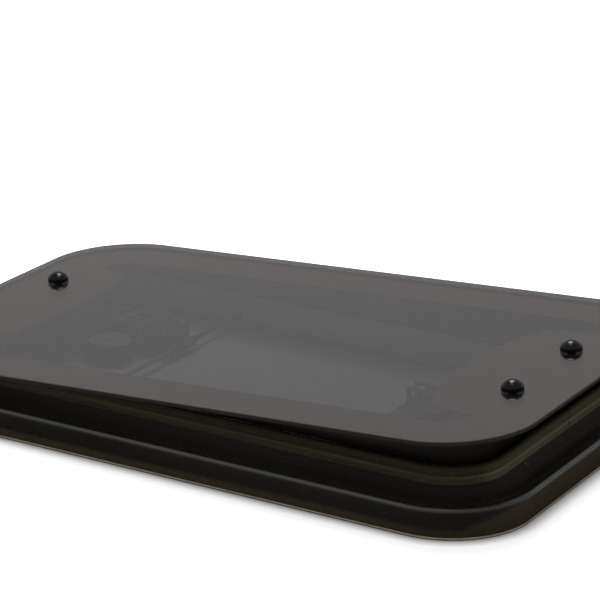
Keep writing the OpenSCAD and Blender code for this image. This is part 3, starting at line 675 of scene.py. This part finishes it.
def socket_boot():
    """Boot of the plug that lies through the brown connector on the motor."""
    low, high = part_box("motor_housing")
    x = middle("lead_socket").x - 2 * MM
    return [(x, 5 * MM, 3.2 * MM, low.y + 3 * MM, high.y - 5 * MM)]


def skirt_edge():
    """Soft bead along the straight lower edges of the pane's skirt, thinner at its ends."""
    bm = bmesh.new()
    r, tip = 1.5 * MM, 1 * MM
    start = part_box("pane_skirt")[0].x + tip
    end = CAD_BOX[1][0] - FOOT_INSET - FOOT_R - 3 * MM
    for y in sides("pane_skirt", r):
        loops = [upright_oval(Vector((x, y, SKIRT_LOW)), size, 0.6 * size, 12)
                 for x, size in ((start, 0.6 * r), (start + tip, r), (end - tip, r), (end, 0.6 * r))]
        loft(bm, loops)
    return bm


def rest_pose():
    """Turns what is drawn in the closed pane's place up to its rest."""
    hinge = middle("hinge_pin_front")
    axle = Matrix.Translation((hinge.x, 0, hinge.z))
    return axle @ Matrix.Rotation(-TILT_REST, 4, "Y") @ axle.inverted()


def rim_paint():
    """Band of the border print under the glass between the print's edge and the bevel."""
    bm = bmesh.new()
    corners = ((RIM_FROM, RIM_NEAR), (RIM_FROM, RIM_FAR), (RIM_TO, RIM_FAR), (RIM_TO, RIM_NEAR))
    loops = [rounded_loop(PANE_L - 2 * inset, PANE_W - 2 * inset, PANE_R - inset, -depth, 24)
             for inset, depth in corners]
    loft(bm, loops, rest_pose() @ Matrix.Translation((PANE_X, 0, PANE_Z)), True)
    return bm


def soft_bulb():
    """The seal's bulb as a piece of its own, with its own mesh, that rides on the frame."""
    bulb = bpy.data.objects.new("soft_bulb", NODES["seal_bulb"].data.copy())
    bpy.context.scene.collection.objects.link(bulb)
    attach(bulb, "frame")
    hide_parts("seal_bulb")
    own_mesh(bulb)


def add_fine_pieces():
    zinc = metal("screw_zinc", (0.62, 0.62, 0.6), (0.22, 0.38))
    black_oxide = metal("clip_black", (0.05, 0.05, 0.052), (0.35, 0.5))
    weld = metal("weld_grey", (0.32, 0.31, 0.3), (0.35, 0.6))
    nylon = moulded("nylon_pale", (0.6, 0.59, 0.55), (0.68, 0.67, 0.62))
    plug = moulded("plug_black", (0.012, 0.011, 0.01), (0.018, 0.0165, 0.015), (0.45, 0.6))
    edge = rubber("edge_rubber", (0.02, 0.0175, 0.015), (0.03, 0.026, 0.022))
    crimp = metal("ferrule_steel", (0.5, 0.47, 0.4), (0.25, 0.4))
    put_mesh("frame_screws", gather(pan_screw, frame_screws()), zinc, "frame")
    put_mesh("drive_screws", gather(pan_screw, drive_screws()), zinc, "frame")
    put_mesh("arm_washers", gather(washer, arm_washers()), black_oxide, "lift_arms")
    put_mesh("arm_spacers", gather(washer, arm_spacers()), nylon, "lid")
    put_mesh("tube_ferrules", gather(tube_sleeve, tube_ferrules()), crimp, "frame")
    put_mesh("rail_welds", gather(weld_bead, rail_welds()), weld, "frame")
    put_mesh("ledge_plugs", gather(ledge_plug, ledge_plugs()), plug, "frame")
    put_mesh("lead_plugs", lead_plugs(), plug, "frame")
    put_mesh("lead_boot", gather(ribbed_boot, lead_boot()), MATERIALS["red_wire"], "frame")
    put_mesh("socket_boot", gather(ribbed_boot, socket_boot()), MATERIALS["socket"], "frame")
    put_mesh("skirt_edge", skirt_edge(), edge, "lid")
    put_mesh("rim_paint", rim_paint(), MATERIALS["print"], "lid")
    soft_bulb()


add_fine_pieces()


def add_world():
    """Soft even light; the camera sees white, and gloss and glass a pale surround."""
    world = bpy.data.worlds.new("studio")
    bpy.context.scene.world = world
    world.use_nodes = True
    world.node_tree.nodes.clear()
    w = Tree(world.node_tree)
    path = w.add("ShaderNodeLightPath").outputs
    mirrored = w.math("MAXIMUM", path["Is Glossy Ray"], path["Is Transmission Ray"])
    light, pale, white = (w.add("ShaderNodeBackground", {"Color": (1, 1, 1, 1), "Strength": strength})
                          for strength in (SOFT_LIGHT, SURROUND, 1.0))
    shown = w.add("ShaderNodeMixShader", {0: mirrored, 1: light.outputs[0], 2: pale.outputs[0]})
    seen = w.add("ShaderNodeMixShader", {0: path["Is Camera Ray"], 1: shown.outputs[0], 2: white.outputs[0]})
    w.add("ShaderNodeOutputWorld", {0: seen.outputs[0]})


def floor_shader():
    """White floor: gloss sees a dim warm table, the camera a backdrop that is white past the shadow; the glow
    that whitens it is held back near the foot, which paints the shadow's narrow edge.
    """
    m = Material("floor_white")
    path = m.add("ShaderNodeLightPath").outputs
    past = []
    for k, name in enumerate("XY"):
        half = CAD_BOX[1][k] - FOOT_INSET - FOOT_R
        past.append(m.math("MAXIMUM", m.math("SUBTRACT", m.distance(m.axis(name), 0), half), 0))
    span = m.math("SQRT", m.math("ADD", m.math("POWER", past[0], 2), m.math("POWER", past[1], 2)))
    from_foot = m.math("SUBTRACT", span, FOOT_R)
    white = m.math("ADD", m.ramp(from_foot, *WHITE_NEAR), m.ramp(from_foot, *WHITE_FAR))
    m.set(Base_Color=m.blend(path["Is Glossy Ray"], (1, 1, 1), (0.12, 0.1, 0.07)), Roughness=1.0,
          Specular_IOR_Level=0, Emission_Color=(1, 1, 1, 1),
          Emission_Strength=m.math("MULTIPLY", white, path["Is Camera Ray"]))
    return m.mat


def add_floor():
    bm = bmesh.new()
    bmesh.ops.create_grid(bm, x_segments=1, y_segments=1, size=FLOOR_HALF)
    mesh = bpy.data.meshes.new("floor")
    bm.to_mesh(mesh)
    bm.free()
    obj = bpy.data.objects.new("floor", mesh)
    bpy.context.scene.collection.objects.link(obj)
    mesh.materials.append(floor_shader())


def soften(lamp):
    """Let an area lamp fade out towards its edges, as a soft box does."""
    lamp.use_nodes = True
    t = Tree(lamp.node_tree)
    shine = next(node for node in t.tree.nodes if node.type == "EMISSION")
    across = t.add("ShaderNodeNewGeometry").outputs["Parametric"]
    split = t.add("ShaderNodeSeparateXYZ", {"Vector": across}).outputs
    fades = [t.ramp(t.distance(split[key], 0.5), LAMP_EVEN, LAMP_EDGE, 1, 0, interpolation_type="SMOOTHSTEP")
             for key in "XY"]
    t.put(t.product(*fades), shine.inputs["Strength"])


def add_lamp(name, place, width, length, turn, power):
    """Rectangular lamp that looks at the middle of the object's foot."""
    lamp = bpy.data.lights.new(name, "AREA")
    lamp.shape = "RECTANGLE"
    lamp.size = width
    lamp.size_y = length
    lamp.energy = power
    soften(lamp)
    obj = bpy.data.objects.new(name, lamp)
    aim = (-Vector(place)).to_track_quat("-Z", "Y")
    obj.location = place
    obj.rotation_euler = (aim @ Quaternion((0, 0, 1), math.radians(turn))).to_euler()
    bpy.context.scene.collection.objects.link(obj)


add_world()
add_floor()
for lamp_name, lamp_values in LAMPS.items():
    add_lamp(lamp_name, *lamp_values)
bpy.context.scene.view_settings.view_transform = "Standard"
